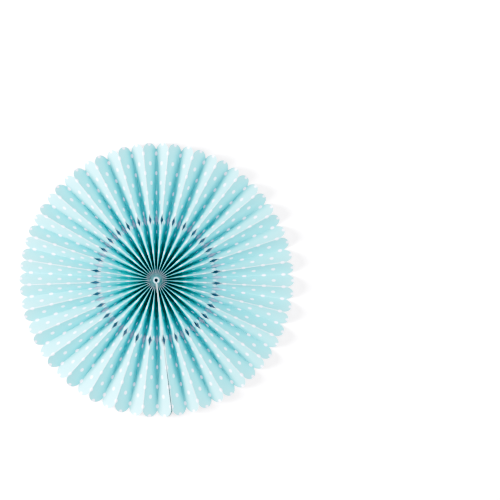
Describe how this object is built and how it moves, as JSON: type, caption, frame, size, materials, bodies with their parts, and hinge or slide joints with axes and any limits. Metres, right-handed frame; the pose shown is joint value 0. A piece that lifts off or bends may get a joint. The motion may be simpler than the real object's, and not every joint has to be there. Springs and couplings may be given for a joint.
{
  "type": "paper fan rosette",
  "caption": "Round paper fan rosette of pleated card with a scalloped rim and cut-out diamonds, a flat decoration that hangs on a wall or lies on a table.",
  "frame": {"origin": "on the table, under the centre of the ring, at the middle of the part's footprint", "axes": "+Z out of the face, up as the rosette lies on its back folds; +Y towards the top edge of the picture"},
  "size_m": [0.4192, 0.4188, 0.03],
  "materials": {
    "card": "matte uncoated card, printed with a pale dot pattern on the front and left bare white on the back",
    "tape": "matte white double-sided adhesive strip",
    "thread": "matte spun thread"
  },
  "bodies": {
    "root": {"pleated_sheet": "card", "adhesive_strip": "tape", "binding_thread": "thread"}
  },
  "joints": []
}
